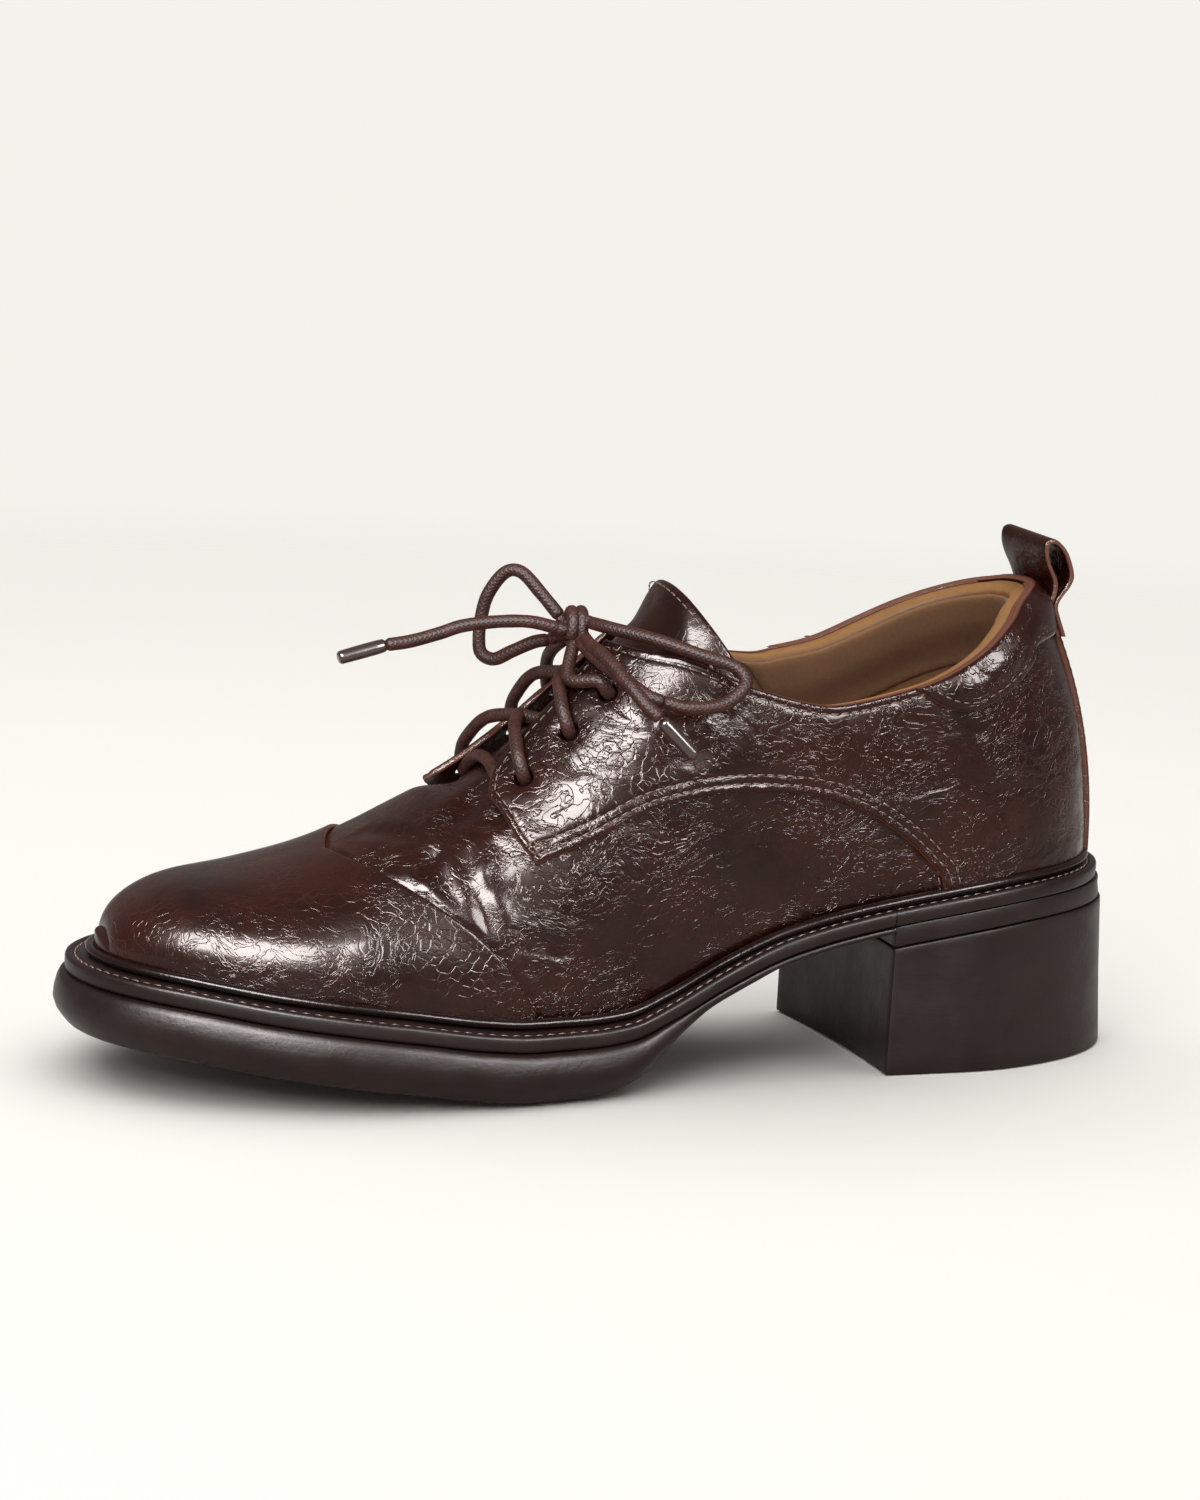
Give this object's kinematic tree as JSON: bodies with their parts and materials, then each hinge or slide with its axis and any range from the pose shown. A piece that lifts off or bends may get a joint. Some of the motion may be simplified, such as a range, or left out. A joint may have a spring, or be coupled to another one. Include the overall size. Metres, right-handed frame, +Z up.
{
  "type": "heeled derby shoe",
  "caption": "Heeled lace-up derby shoe in glossy crinkled leather, with a toe cap, open-laced quarters, a padded collar, a pull loop and a block heel.",
  "frame": {"origin": "on the floor, under the middle of the heel", "axes": "+X runs from the toe towards the heel, +Z up, and -Y towards the shoe's outer side, which the picture shows"},
  "size_m": [0.2681, 0.0961, 0.1303],
  "materials": {
    "leather": "dark reddish brown, high gloss, crinkled",
    "lining": "tan, matte",
    "sole_rubber": "dark brown, semi-matte, with a glossy rand",
    "lace_cord": "waxed round cord, dark brown",
    "aglet_plastic": "smooth, dark brown"
  },
  "bodies": {
    "root": {"upper": "leather", "quarter_outer": "leather", "quarter_inner": "leather", "toe_cap": "leather", "collar": "leather", "tongue": "leather", "back_strip": "leather", "pull_loop": "leather", "insole": "lining", "rand": "sole_rubber", "midsole": "sole_rubber", "outsole": "sole_rubber", "heel_lift": "sole_rubber", "heel": "sole_rubber", "lace_bar": "lace_cord", "lace_crossing_low": "lace_cord", "lace_crossing_high": "lace_cord", "lace_top_outer": "lace_cord", "lace_top_inner": "lace_cord", "lace_knot": "lace_cord", "lace_loop_outer": "lace_cord", "lace_loop_inner": "lace_cord", "lace_end_outer": "lace_cord", "lace_end_inner": "lace_cord", "aglet_outer": "aglet_plastic", "aglet_inner": "aglet_plastic"}
  },
  "joints": []
}
